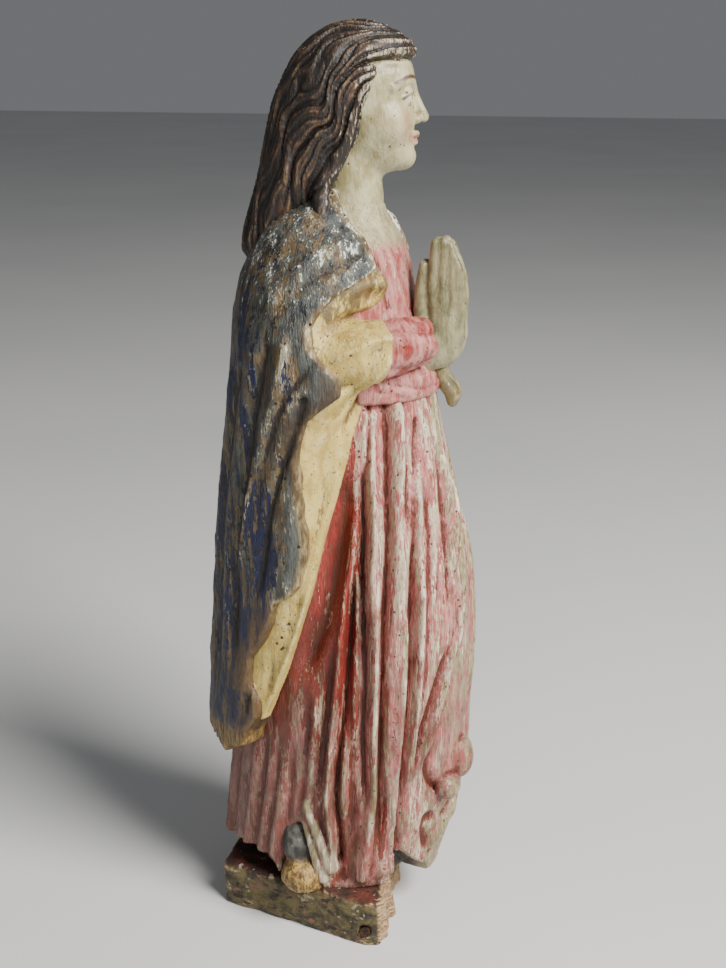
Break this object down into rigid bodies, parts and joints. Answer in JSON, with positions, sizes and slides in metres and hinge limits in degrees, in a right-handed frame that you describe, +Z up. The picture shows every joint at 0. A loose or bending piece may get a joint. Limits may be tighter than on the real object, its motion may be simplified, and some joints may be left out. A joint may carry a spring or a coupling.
{
  "type": "carved prayer statue",
  "caption": "Standing praying figure of carved, painted wood in a long pleated robe and open cloak, on a low plinth whose front has split away",
  "frame": {"origin": "middle of the plinth's underside as it was before its front split away", "axes": "+Z up; the figure faces -Y; the figure's right hand is towards -X"},
  "size_m": [0.094, 0.0993, 0.32],
  "materials": {
    "bare_wood": "uncoated dry softwood",
    "plinth_paint": "worn ochre and olive paint over wood",
    "robe_paint": "worn pink and white paint over carved wood",
    "sash_paint": "worn red paint over carved wood",
    "cloak_paint": "worn dark blue paint over carved wood",
    "lining_paint": "worn cream and gold paint over carved wood",
    "skin_paint": "aged cream paint over carved wood",
    "hair_paint": "worn dark brown paint over carved wood",
    "shoe_paint": "worn grey and gold paint over carved wood",
    "iron": "rusted hand-made nail"
  },
  "bodies": {
    "root": {"plinth": "plinth_paint", "plinth_dowels": "bare_wood", "plinth_nail": "iron", "robe": "robe_paint", "right_shoe": "shoe_paint", "sash": "sash_paint", "sash_tie": "lining_paint", "cloak_back": "cloak_paint", "right_cloak_side": "cloak_paint", "left_cloak_side": "cloak_paint", "cloak_pegs": "bare_wood", "right_lining": "lining_paint", "left_lining": "lining_paint", "right_sleeve": "robe_paint", "left_sleeve": "robe_paint", "arm_dowels": "bare_wood", "right_hand": "skin_paint", "left_hand": "skin_paint", "neck_dowel": "bare_wood", "head": "skin_paint", "hair": "hair_paint"}
  },
  "joints": []
}
